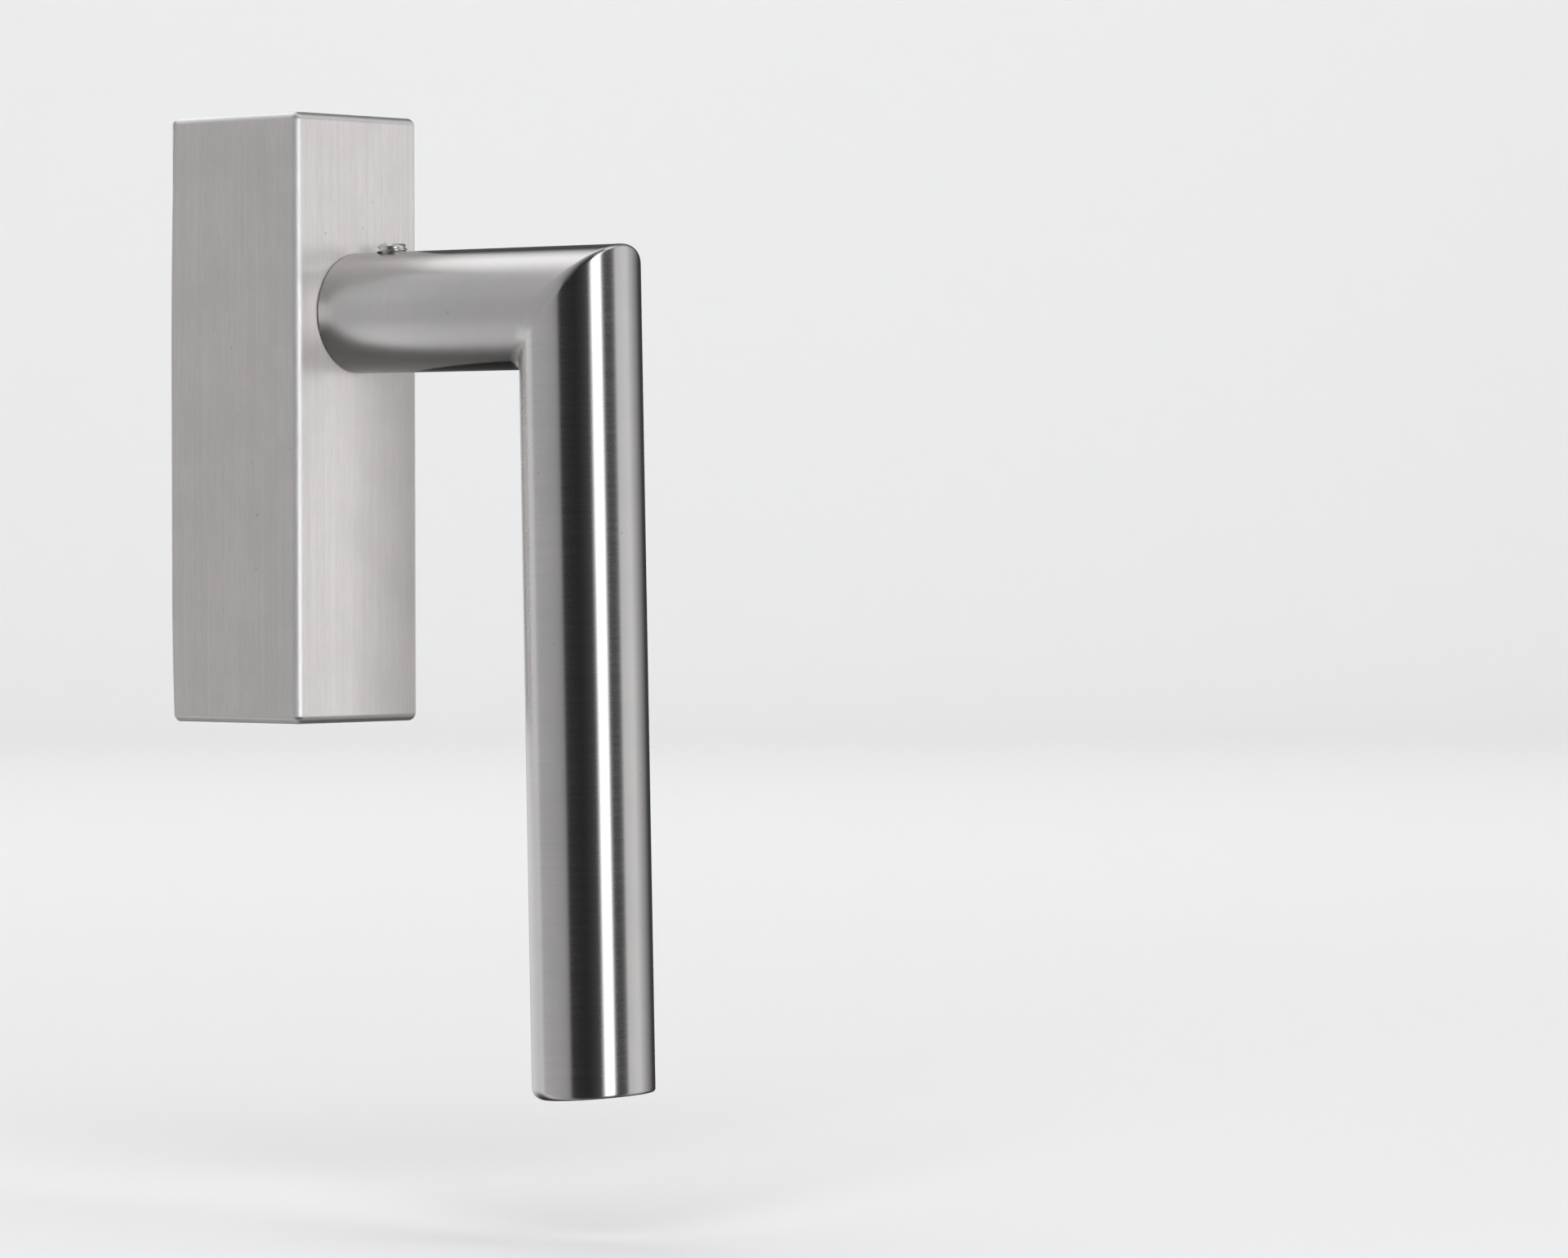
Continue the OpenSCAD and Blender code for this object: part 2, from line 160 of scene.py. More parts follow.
def bumped(tree, height, strength, depth_mm):
    """The surface's normal over bumps that are depth_mm high."""
    return add_node(
        tree,
        "ShaderNodeBump",
        {"Height": height, "Strength": strength, "Distance": depth_mm * MM},
    ).outputs["Normal"]


def shade(colour, factor):
    """A colour made lighter or darker, as a node takes it."""
    return tuple(min(1.0, c * factor) for c in colour) + (1.0,)


def tint(colour, factor, tones):
    """A shade whose red, green and blue are also multiplied by their own tones."""
    return tuple(c * tone for c, tone in zip(shade(colour, factor), tones + (1.0,)))


def sharp_edge_mask(tree, radius_mm):
    """1 where the surface turns a sharp corner, fading out beside it."""
    rounded = add_node(
        tree, "ShaderNodeBevel", {"Radius": radius_mm * MM}, samples=3
    ).outputs["Normal"]
    true_normal = add_node(tree, "ShaderNodeNewGeometry").outputs["Normal"]
    return remap(tree, dot(tree, rounded, true_normal), 0.998, 0.9)


def rounded_edges(tree):
    """1 on a box's rounded edges, where the surface faces between its sides."""
    normal = add_node(tree, "ShaderNodeTexCoord").outputs["Normal"]
    size = add_node(
        tree, "ShaderNodeVectorMath", {0: normal}, operation="ABSOLUTE"
    ).outputs["Vector"]
    parts = add_node(tree, "ShaderNodeSeparateXYZ", {"Vector": size}).outputs
    most = calc(tree, "MAXIMUM", calc(tree, "MAXIMUM", parts[0], parts[1]), parts[2])
    return remap(tree, most, 0.995, 0.9)


def new_material(name):
    made = bpy.data.materials.new(name)
    made.use_nodes = True
    made.node_tree.nodes.clear()
    return made


def finish_material(made, inputs):
    """Gives a material its shader."""
    tree = made.node_tree
    shader = add_node(tree, "ShaderNodeBsdfPrincipled", inputs)
    add_node(tree, "ShaderNodeOutputMaterial", {"Surface": shader.outputs["BSDF"]})
    return made


# ---- Brushed steel ----

WARM = (1.02, 0.975, 0.97)
COOL = (0.985, 1.01, 0.995)
# Near-white steel mixed into the neck's colour near the case, a painted highlight.
PAINTED_HIGHLIGHT_STEEL = (1.0, 0.985, 0.975, 1.0)
SATIN_ROUGH = -0.2


def brush_marks(tree, place, fine, coarse, per_mm):
    """Height of the brushing: fine lines over broader bands, both along the grain."""
    lines = noise(tree, stretched(tree, place, fine), per_mm, 3.0, 0.7)
    bands = noise(tree, stretched(tree, place, coarse, (7.3, 1.9, 4.4)), per_mm * 0.3)
    return calc(
        tree, "ADD", calc(tree, "MULTIPLY", lines, 0.6), calc(tree, "MULTIPLY", bands, 0.4)
    )


def steel_colour(tree, place, colour, streak, clouds, contrast):
    """Streaks, warm and cool patches, darker clouds and a few dark specks."""
    hue = noise(tree, stretched(tree, place, (1, 1, 0.5), (11.0, 2.5, 9.3)), 0.16)
    specks = noise(tree, stretched(tree, place, (1, 1, 1), (5.0, 3.0, 1.0)), 0.9, 1.0, 0.3)
    dark = shade(colour, 1.0 - contrast)
    light = shade(colour, 1.0 + contrast)
    grained = mix_colour(tree, remap(tree, streak, 0.38, 0.62), dark, light)
    warm = tint(colour, 1.0, WARM)
    cool = tint(colour, 0.97, COOL)
    tinted = mix_colour(tree, remap(tree, hue, 0.38, 0.62), warm, cool)
    patchy = mix_colour(tree, 0.4, grained, tinted)
    clouded = covered(tree, patchy, remap(tree, clouds, 0.4, 0.65), 0.35, shade(colour, 0.9))
    return covered(tree, clouded, remap(tree, specks, 0.79, 0.81), 0.5, shade(colour, 0.6))


def satin_and_highlight_share(tree, brush_uv, satin_and_highlight):
    """How smooth the neck's steel is and how much painted highlight lightens it: most at the
    case, none on the grip.
    """
    along = add_node(tree, "ShaderNodeSeparateXYZ", {"Vector": brush_uv}).outputs["X"]
    by_distance = remap(tree, along, -0.045, -0.005, satin_and_highlight * 1.8, satin_and_highlight * 0.5)
    on_neck = remap(tree, along, 0.45, 0.55, 1.0, 0.0)
    return calc(tree, "MULTIPLY", by_distance, on_neck)


def brushed(
    name,
    colour,
    roughness,
    anisotropy,
    fine,
    coarse,
    per_mm,
    depth_mm,
    contrast,
    rough_range,
    edge_rough=-0.08,
    satin_and_highlight=0.0,
    scratch=0.4,
    round_edges=False,
):
    """Brushed metal. fine and coarse stretch the brush UVs along the grain."""
    made = new_material(name)
    tree = made.node_tree
    brush_uv = add_node(tree, "ShaderNodeUVMap", uv_map="brush").outputs["UV"]
    tangent = add_node(tree, "ShaderNodeTangent", direction_type="UV_MAP", uv_map="brush")
    place = in_mm(tree, brush_uv)
    streak = brush_marks(tree, place, fine, coarse, per_mm)
    clouds = noise(tree, stretched(tree, place, (1, 1, 0.6), (3.1, 8.2, 0.7)), 0.07, 3.0)
    scratches = noise(
        tree, stretched(tree, place, fine, (31.0, 17.0, 23.0)), per_mm * 0.8, 1.0, 0.4
    )
    # Rounded or sharp edges: lower roughness there, and lighter colour on them as a painted
    # highlight.
    smooth_and_highlit_edges = rounded_edges(tree) if round_edges else sharp_edge_mask(tree, 0.5)
    plain = steel_colour(tree, place, colour, streak, clouds, contrast)
    marks = remap(tree, scratches, 0.68, 0.76)
    scored = covered(tree, plain, marks, scratch, shade(colour, 1.25))
    base = covered(tree, scored, smooth_and_highlit_edges, 0.9, shade(colour, 1.28))
    rough = calc(
        tree,
        "MULTIPLY_ADD",
        smooth_and_highlit_edges,
        edge_rough,
        uneven(tree, roughness, rough_range, streak, (0.35, 0.65), clouds, rough_range * 0.8),
    )
    # Near the case the neck is smoother, and its colour is mixed towards near-white steel as a
    # painted highlight.
    if satin_and_highlight:
        smooth = satin_and_highlight_share(tree, brush_uv, satin_and_highlight)
        rough = calc(tree, "MULTIPLY_ADD", smooth, SATIN_ROUGH, rough)
        base = mix_colour(tree, smooth, base, PAINTED_HIGHLIGHT_STEEL)
    return finish_material(
        made,
        {
            "Base Color": base,
            "Metallic": 1.0,
            "Roughness": rough,
            "Anisotropic": anisotropy,
            "Normal": bumped(tree, streak, 0.5, depth_mm),
            "Tangent": tangent.outputs["Tangent"],
        },
    )


# ---- Other materials ----


def plain_metal(name, colour, roughness, bump_mm, per_mm, blotch=0.12):
    """Cast, machined or plated metal, with a fine even surface."""
    made = new_material(name)
    tree = made.node_tree
    place = in_mm(tree, add_node(tree, "ShaderNodeTexCoord").outputs["Object"])
    fine = noise(tree, place, per_mm, 4.0, 0.6)
    broad = noise(tree, place, 0.25, 3.0)
    specks = remap(tree, noise(tree, place, per_mm * 0.45, 1.0, 0.3), 0.66, 0.74)
    blotched = mix_colour(
        tree,
        remap(tree, broad, 0.35, 0.65),
        shade(colour, 1.0 - blotch),
        shade(colour, 1.0 + blotch * 0.5),
    )
    marked = covered(tree, blotched, specks, 0.5, shade(colour, 0.6))
    return finish_material(
        made,
        {
            # Lighter colour along sharp edges is a painted highlight.
            "Base Color": covered(tree, marked, sharp_edge_mask(tree, 0.25), 0.6, shade(colour, 1.35)),
            "Metallic": 1.0,
            "Roughness": uneven(tree, roughness, 0.07, fine, (0.3, 0.7), broad, 0.12),
            "Normal": bumped(tree, fine, 0.5, bump_mm),
        },
    )


def moulded(name, colour, roughness):
    """Moulded plastic with a faint eroded texture."""
    made = new_material(name)
    tree = made.node_tree
    place = in_mm(tree, add_node(tree, "ShaderNodeTexCoord").outputs["Object"])
    fine = noise(tree, place, 6.0, 3.0, 0.6)
    broad = noise(tree, place, 0.3)
    mottled = mix_colour(
        tree, remap(tree, broad, 0.35, 0.65), shade(colour, 0.85), shade(colour, 1.25)
    )
    return finish_material(
        made,
        {
            # Lighter colour along sharp edges is a painted highlight.
            "Base Color": covered(tree, mottled, sharp_edge_mask(tree, 0.2), 0.6, shade(colour, 2.2)),
            "Roughness": remap(tree, fine, 0.3, 0.7, roughness - 0.08, roughness + 0.08),
            "Normal": bumped(tree, fine, 0.4, 0.01),
        },
    )


casing_steel = brushed(
    "casing_steel",
    (0.945, 0.915, 0.9),
    roughness=0.45,
    anisotropy=0.94,
    fine=(1, 0.04, 1),
    coarse=(1, 0.015, 1),
    per_mm=5.0,
    depth_mm=0.003,
    contrast=0.085,
    rough_range=0.03,
    edge_rough=-0.06,
    round_edges=True,
)
lever_steel = brushed(
    "lever_steel",
    (0.60, 0.59, 0.585),
    roughness=0.26,
    anisotropy=0.96,
    fine=(1, 0.25, 1),
    coarse=(1, 0.05, 1),
    per_mm=5.5,
    depth_mm=0.0012,
    contrast=0.045,
    rough_range=0.018,
    satin_and_highlight=0.15,
    scratch=0.05,
)
slot_materials = {
    "casing_steel": casing_steel,
    "lever_steel": lever_steel,
    "grub_steel": plain_metal("thread_steel", (0.95, 0.92, 0.89), 0.3, 0.003, 9.0),
    "screw_steel": plain_metal("screw_steel", (0.56, 0.57, 0.59), 0.3, 0.004, 7.0),
    "gear_steel": plain_metal("gear_steel", (0.42, 0.42, 0.43), 0.34, 0.004, 6.0),
    "spring_steel": plain_metal("spring_steel", (0.28, 0.29, 0.33), 0.3, 0.002, 8.0),
    "zinc": plain_metal("zinc_casting", (0.46, 0.47, 0.48), 0.5, 0.012, 4.0, 0.15),
    "bronze": plain_metal("bronze", (0.58, 0.38, 0.19), 0.45, 0.008, 6.0),
    "polymer": moulded("black_polymer", (0.022, 0.022, 0.024), 0.45),
}
for entry in frame["record"]["subparts"]:
    cad = nodes[entry["node"]]
    cad.data.materials.clear()
    cad.data.materials.append(slot_materials[entry["material_slot"]])


# ---- Mesh tools ----


def add_object(name, data):
    made = bpy.data.objects.new(name, data)
    bpy.context.scene.collection.objects.link(made)
    return made


def grid_object(name, rows, material, wrap=True, uvs=None, caps=False):
    """A mesh from rows of points of one length, each row joined to the next. wrap
    closes each row round, and caps close the first and the last row."""
    mesh = bpy.data.meshes.new(name)
    count = len(rows[0])
    faces = []
    corners = []
    steps = count if wrap else count - 1
    for r in range(len(rows) - 1):
        for c in range(steps):
            n = (c + 1) % count
            faces.append((r * count + c, r * count + n, (r + 1) * count + n, (r + 1) * count + c))
            corners.append(((r, c), (r, c + 1), (r + 1, c + 1), (r + 1, c)))
    if caps:
        faces.append(tuple(range(count)))
        faces.append(tuple(range(len(rows) * count - 1, (len(rows) - 1) * count - 1, -1)))
    mesh.from_pydata([tuple(p) for row in rows for p in row], [], faces)
    if uvs:
        layer = mesh.uv_layers.new(name="brush")
        for polygon, quad in zip(mesh.polygons, corners):
            for loop, (r, c) in zip(polygon.loop_indices, quad):
                layer.data[loop].uv = uvs(quad[0][0], r, c)
    mesh.materials.append(material)
    return add_object(name, mesh)


def clean(made, sharp_deg, merge=0.001 * MM):
    """Merges doubled points, makes normals point outwards, and keeps corners sharp."""
    bm = bmesh.new()
    bm.from_mesh(made.data)
    bmesh.ops.remove_doubles(bm, verts=bm.verts, dist=merge)
    bmesh.ops.dissolve_degenerate(bm, edges=bm.edges, dist=merge * 0.1)
    bmesh.ops.recalc_face_normals(bm, faces=bm.faces)
    for face in bm.faces:
        face.smooth = True
    bm.to_mesh(made.data)
    bm.free()
    made.data.set_sharp_from_angle(angle=math.radians(sharp_deg))
    return made


def cut(made, cutter, operation="DIFFERENCE"):
    """Takes a closed mesh out of another, or joins it on."""
    bpy.context.view_layer.objects.active = made
    modifier = made.modifiers.new("cut", "BOOLEAN")
    modifier.operation = operation
    modifier.solver = "EXACT"
    modifier.object = cutter
    bpy.context.view_layer.update()
    graph = bpy.context.evaluated_depsgraph_get()
    cut_mesh = bpy.data.meshes.new_from_object(made.evaluated_get(graph))
    made.modifiers.clear()
    made.data = cut_mesh
    bpy.data.objects.remove(cutter)


def join(parts, name):
    """One object from several meshes that lie apart."""
    bm = bmesh.new()
    for part in parts:
        bm.from_mesh(part.data)
    mesh = bpy.data.meshes.new(name)
    bm.to_mesh(mesh)
    bm.free()
    mesh.materials.append(parts[0].data.materials[0])
    for part in parts:
        bpy.data.objects.remove(part)
    return add_object(name, mesh)


def turned(name, profile, sides, place):
    """A closed mesh turned about local Z from (radius, height) pairs, then placed."""
    rows = [
        [
            place @ Vector((r * math.cos(a), r * math.sin(a), h))
            for a in (2 * math.pi * k / sides for k in range(sides))
        ]
        for r, h in profile
    ]
    return clean(grid_object(name, rows, casing_steel), 30)


def block(name, low, high, bevel=0.15 * MM):
    """A box with broken edges."""
    bm = bmesh.new()
    bmesh.ops.create_cube(bm, size=1)
    for vert in bm.verts:
        vert.co = Vector(
            low[i] + (high[i] - low[i]) * (vert.co[i] + 0.5) for i in range(3)
        )
    bmesh.ops.bevel(
        bm, geom=list(bm.edges), offset=bevel, segments=2, affect="EDGES", profile=0.5
    )
    mesh = bpy.data.meshes.new(name)
    bm.to_mesh(mesh)
    bm.free()
    return add_object(name, mesh)


# ---- Lever: neck and grip in one smooth mesh ----

tube_lo, tube_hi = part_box("lever_tube")
cap_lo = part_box("grip_end_cap")[0]
case_lo, case_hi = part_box("casing")
grub_lo, grub_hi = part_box("grub_screw")

SPLAY = math.radians(1.2)
TURN = math.pi / 2 - SPLAY
R = (tube_hi.x - tube_lo.x) / 2
BORE = R - 2.0 * MM
BORE_DEPTH = 20.1 * MM
BREAK = 0.1 * MM
GRIP_OVER = 0.35 * MM
END_HIGH = math.radians(50)
END_SLANT = 1.1 * MM

tube_length = (-tube_lo.z - R * math.sin(SPLAY)) / math.cos(SPLAY)
elbow = Vector((0, tube_lo.y + tube_length * math.sin(SPLAY) + R * math.cos(SPLAY), 0))
neck_dir = Vector((0, -1, 0))
neck_out = Vector((0, 0, 1))
grip_dir = Vector((0, -math.sin(SPLAY), -math.cos(SPLAY)))
grip_out = Vector((0, -math.cos(SPLAY), math.sin(SPLAY)))
mitre = (neck_out + grip_out) / (1 + neck_out.dot(grip_out))
mitre_unit = mitre.normalized()
neck_start = elbow.y - tube_hi.y
grip_end = -cap_lo.z / math.cos(SPLAY) + GRIP_OVER

AROUND = 176
ARC_STEPS = 14
END_STEPS = 10
NECK_STEPS = [0.0, 0.004, 0.05] + [0.1 + 0.08 * k for k in range(11)] + [0.94, 0.975, 0.992]
GRIP_STEPS = (
    [0.003, 0.01, 0.025, 0.05] + [0.1 + 0.05 * k for k in range(18)] + [0.985, 0.997, 1.0]
)
# The neck's open end: depth behind its rim and radius, from the bore's floor outwards.
NECK_BORE = (
    [(BORE_DEPTH, BORE * share) for share in (0.0, 0.3, 0.7, 1.0)]
    + [(depth, BORE) for depth in (13 * MM, 6 * MM, BREAK)]
    + [(0, BORE + BREAK), (0, R - BREAK), (BREAK * 0.3, R - BREAK * 0.3)]
)
# The mitre's edge is almost sharp outside and ground rounder towards the inside:
# (side from -1 at the inner corner to 1 at the outer one, radius in mm).
MITRE_EDGE = [
    (-1.0, 2.4),
    (-0.6, 2.0),
    (-0.2, 2.2),
    (0.2, 2.4),
    (0.5, 1.5),
    (0.7, 0.9),
    (0.85, 0.7),
    (1.0, 0.7),
]


def mitre_radius(side):
    """Radius of the mitre's ground edge, eased between the values above."""
    for (a, low), (b, high) in zip(MITRE_EDGE, MITRE_EDGE[1:]):
        if side <= b:
            break
    t = min(1.0, max(0.0, (side - a) / (b - a)))
    return (low + (high - low) * t * t * (3 - 2 * t)) * MM


def end_round(angle):
    """Radius of the grip's end, ground rounder on one side."""
    return (0.5 + 1.6 * max(0.0, -math.cos(angle - END_HIGH)) ** 2) * MM


def end_at(angle, share):
    """How far the slightly slanted end reaches along the grip."""
    return grip_end - (0.5 + 0.5 * share * math.cos(angle - END_HIGH)) * END_SLANT


def lever_line(angle):
    """One line of points along the lever, at an angle round it, and each point's
    distance along the neck and along the grip. Both distances are 0 at the elbow."""
    side = math.sin(angle)
    around = math.cos(angle)
    radius = mitre_radius(side)
    centre = elbow + mitre * (R * side) - mitre_unit * (radius / math.cos(TURN / 2))
    arc_start = (centre + neck_out * radius - elbow).dot(neck_dir)
    arc_end = (centre + grip_out * radius - elbow).dot(grip_dir)
    line = []

    def on_neck(distance, r=R):
        at = elbow + neck_dir * distance + neck_out * (side * r)
        line.append((at + Vector((r * around, 0, 0)), distance + r - R, 0))

    def on_grip(distance, r=R):
        at = elbow + grip_dir * distance + grip_out * (side * r)
        line.append((at + Vector((r * around, 0, 0)), 0, distance + R - r))

    for depth, r in NECK_BORE:
        on_neck(neck_start + depth, r)
    first = neck_start + BREAK
    for t in NECK_STEPS:
        on_neck(first + (arc_start - first) * t)
    for k in range(ARC_STEPS + 1):
        a = TURN * k / ARC_STEPS
        at = centre + (neck_out * math.cos(a) + neck_dir * math.sin(a)) * radius
        at += Vector((R * around, 0, 0))
        line.append((at, arc_start + radius * a, arc_end - radius * (TURN - a)))
    end_radius = end_round(angle)
    last = end_at(angle, 1) - end_radius
    for t in GRIP_STEPS:
        on_grip(arc_end + (last - arc_end) * t)
    for k in range(1, END_STEPS + 1):
        a = math.pi / 2 * k / END_STEPS
        r = R - end_radius + end_radius * math.cos(a)
        tilt = end_at(angle, r / R) - end_at(angle, 1)
        on_grip(last + (end_radius + tilt) * math.sin(a), r)
    rim_r = R - end_radius
    for share in (0.93, 0.6, 0.25, 0.0):
        on_grip(end_at(angle, share * rim_r / R), rim_r * share)
    return line


lines = [lever_line(2 * math.pi * k / AROUND) for k in range(AROUND)]
rows = [[line[r][0] for line in lines] for r in range(len(lines[0]))]
MITRE_ROW = len(NECK_BORE) + len(NECK_STEPS) + ARC_STEPS // 2


def lever_uv(face_row, row, column):
    """Along the neck, or 1 more than along the grip, and round the tube."""
    on_neck = face_row < MITRE_ROW
    along = lines[column % AROUND][row][1 if on_neck else 2]
    return (along + (0 if on_neck else 1), column / AROUND * 2 * math.pi * R)


lever = clean(grid_object("lever_shell", rows, lever_steel, uvs=lever_uv), 50)
grub_x = (grub_lo.x + grub_hi.x) / 2
grub_y = (grub_lo.y + grub_hi.y) / 2
grub_r = (grub_hi.x - grub_lo.x) / 2
hole_r = grub_r + 0.1 * MM
# The grub screw's hole, from the bore to above the neck.
hole_low = 7 * MM
hole_high = 12 * MM
cut(
    lever,
    turned(
        "hole",
        [(0, hole_low), (hole_r, hole_low), (hole_r, hole_high), (0, hole_high)],
        64,
        Matrix.Translation((grub_x, grub_y, 0)),
    ),
)
clean(lever, 50)
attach(lever, "lever")
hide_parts("lever_tube", "grip_end_cap")


# ---- Screws with real threads, all M5 ----

PITCH = 0.8 * MM
THREAD_DEPTH = 0.42 * MM
THREAD_R = 2.5 * MM
SHANK_R = 2.2 * MM
SOCKET_BREAK = 0.06 * MM
RINGS_PER_TURN = 10


def threaded(name, profile, place, steel, socket, sides):
    """A screw on local Z from (radius, height, has thread) triples, with a hexagon
    socket of a given flat-to-centre size and depth in its upper end."""
    around = [2 * math.pi * k / sides for k in range(sides)]
    rows = []

    def ring(radius_at, height):
        rows.append(
            [
                place
                @ Vector((radius_at(a) * math.cos(a), radius_at(a) * math.sin(a), height))
                for a in around
            ]
        )

    def thread_radius(radius, height, angle):
        """Crest and root are flat for a seventh of the pitch each, between straight flanks."""
        phase = (height / PITCH - angle / (2 * math.pi)) % 1.0
        flank = min(1.0, max(0.0, (abs(phase - 0.5) * 2 - 0.14) / 0.72))
        return radius - THREAD_DEPTH * flank

    def hexagon(a):
        return flat / math.cos((a + math.pi / 6) % (math.pi / 3) - math.pi / 6)

    crest = max(r for r, h, thread in profile if thread)
    flat, deep = socket
    ring(lambda a: 0.0, profile[0][1])
    for (r0, h0, t0), (r1, h1, t1) in zip(profile, profile[1:]):
        steps = max(1, round((h1 - h0) / PITCH * RINGS_PER_TURN)) if t0 or t1 else 1
        for k in range(steps + (1 if (r1, h1, t1) == profile[-1] else 0)):
            h = h0 + (h1 - h0) * k / steps
            r = r0 + (r1 - r0) * k / steps
            if t0 and (t1 or k < steps):
                ring(lambda a, h=h, r=r: min(r, thread_radius(crest, h, a)), h)
            else:
                ring(lambda a, r=r: r, h)
    top_r, top = profile[-1][:2]
    ring(lambda a: max(hexagon(a) + 2 * SOCKET_BREAK, top_r - 0.2 * MM), top)
    ring(lambda a: hexagon(a) + SOCKET_BREAK, top)
    ring(hexagon, top - SOCKET_BREAK)
    ring(hexagon, top - deep)
    ring(lambda a: 0.0, top - deep - 0.4 * MM)
    return clean(grid_object(name, rows, steel), 32)


length = grub_hi.z - grub_lo.z
point_r = 1.4 * MM
chamfer = 0.45 * MM
grub = threaded(
    "grub_screw_threaded",
    [
        (point_r, 0.0, False),
        (grub_r - chamfer, grub_r - point_r - chamfer, True),
        (grub_r, grub_r - point_r, True),
        (grub_r, length - chamfer, True),
        (grub_r - chamfer, length, True),
    ],
    Matrix.Translation((grub_x, grub_y, grub_lo.z)) @ Matrix.Rotation(math.radians(175), 4, "Z"),
    slot_materials["grub_steel"],
    (1.25 * MM, 2.2 * MM),
    60,
)
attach(grub, "lever")
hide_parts("grub_screw")

mount_lo, mount_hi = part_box("mounting_screws")
head_r = (mount_hi.x - mount_lo.x) / 2
head_top = mount_hi.y - mount_lo.y
in_sash = mount_hi.y
mounting = [
    threaded(
        "mounting_screw_threaded",
        [
            (1.9 * MM, 0.0, False),
            (THREAD_R, 0.6 * MM, True),
            (THREAD_R, in_sash - 0.2 * MM, True),
            (SHANK_R, in_sash + 0.1 * MM, True),
            (SHANK_R, head_top - 2.5 * MM, False),
            (head_r - 0.1 * MM, head_top - 0.1 * MM, False),
            (head_r - 0.2 * MM, head_top, False),
        ],
        Matrix.Translation((0, in_sash, z)) @ Matrix.Rotation(math.pi / 2, 4, "X"),
        slot_materials["screw_steel"],
        (1.5 * MM, 1.9 * MM),
        48,
    )
    for z in (mount_hi.z - head_r, mount_lo.z + head_r)
]
mount_pair = join(mounting, "mounting_screws_threaded")
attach(mount_pair, "gear_case")
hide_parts("mounting_screws")


# ---- Casing: folded and ground cover, open at the back ----

EDGE = 1.4 * MM
WALL = 1.5 * MM
FOLD_R = 0.4 * MM
TALL_STEPS = 44
WIDE_STEPS = 8
CORNER_STEPS = 6
SIDE_STEPS = 14
EDGE_STEPS = 8
case_depth = -case_lo.y
case_half = case_hi.x
floor_depth = case_depth - WALL


def outline(half_w, low, high, radius):
    """Points round a rectangle with round corners, in x and z."""
    radius = max(radius, 0.0)
    points = []
    for sx, sz, start in ((1, 1, 0), (-1, 1, 90), (-1, -1, 180), (1, -1, 270)):
        cx = sx * (half_w - radius)
        cz = high - radius if sz > 0 else low + radius
        for k in range(CORNER_STEPS + 1):
            a = math.radians(start + 90 * k / CORNER_STEPS)
            points.append((cx + radius * math.cos(a), cz + radius * math.sin(a)))
        wide = sx * sz > 0
        steps = WIDE_STEPS if wide else TALL_STEPS
        x0, z0 = points[-1]
        if wide:
            x1, z1 = -x0, z0
        else:
            x1, z1 = x0, (low + high) - z0
        for k in range(1, steps):
            points.append((x0 + (x1 - x0) * k / steps, z0 + (z1 - z0) * k / steps))
    return points


def rim_taper(z, depth):
    """How far the sides lean in towards the back, at the casing's two ends."""
    back = max(0.0, 1 - depth / case_depth) ** 2
    upper = max(0.0, 1 - (case_hi.z - z) / (46 * MM)) ** 2.4 * 0.95 * MM
    lower = max(0.0, 1 - (z - case_lo.z) / (22 * MM)) ** 2 * 0.5 * MM
    return back * (upper + lower)


def case_row(inset, depth, radius, outer=True):
    """Points round the case at a depth from its back. The outer face leans in."""
    row = []
    for x, z in outline(case_half - inset, case_lo.z + inset, case_hi.z - inset, radius):
        if outer:
            x *= 1 - rim_taper(z, depth) / case_half
        row.append(Vector((x, -depth, z)))
    return row


inner_rows = [
    case_row(WALL, depth, FOLD_R, False)
    for depth in (floor_depth, floor_depth - FOLD_R, 20 * MM, 10 * MM, 0.15 * MM)
]
rim_rows = [
    case_row(WALL - BREAK, 0.03 * MM, FOLD_R, False),
    case_row(0.55 * MM, 0.0, 0.6 * MM, False),
    case_row(0.08 * MM, 0.02 * MM, EDGE - 0.08 * MM),
    case_row(0.0, 0.12 * MM, EDGE),
]
side_rows = [
    case_row(0.0, (case_depth - EDGE) * k / SIDE_STEPS, EDGE) for k in range(1, SIDE_STEPS + 1)
]
edge_rows = []
for k in range(1, EDGE_STEPS + 1):
    a = math.pi / 2 * k / EDGE_STEPS
    inset = EDGE * (1 - math.cos(a))
    edge_rows.append(case_row(inset, case_depth - EDGE + EDGE * math.sin(a), EDGE - inset))
casing = grid_object(
    "casing_cover", inner_rows + rim_rows + side_rows + edge_rows, casing_steel, caps=True
)
clean(casing, 35)

# The neck's hole, just clear of the guide ring, with a broken edge at the front.
collar_r = 8.52 * MM
rim_half = 0.15 * MM
cut(
    casing,
    turned(
        "neck_hole",
        [
            (0, floor_depth - 1 * MM),
            (collar_r, floor_depth - 1 * MM),
            (collar_r, case_depth - rim_half),
            (collar_r + 2 * rim_half, case_depth + rim_half),
            (collar_r + 2 * rim_half, case_depth + 1 * MM),
            (0, case_depth + 1 * MM),
        ],
        96,
        Matrix.Rotation(math.pi / 2, 4, "X"),
    ),
)

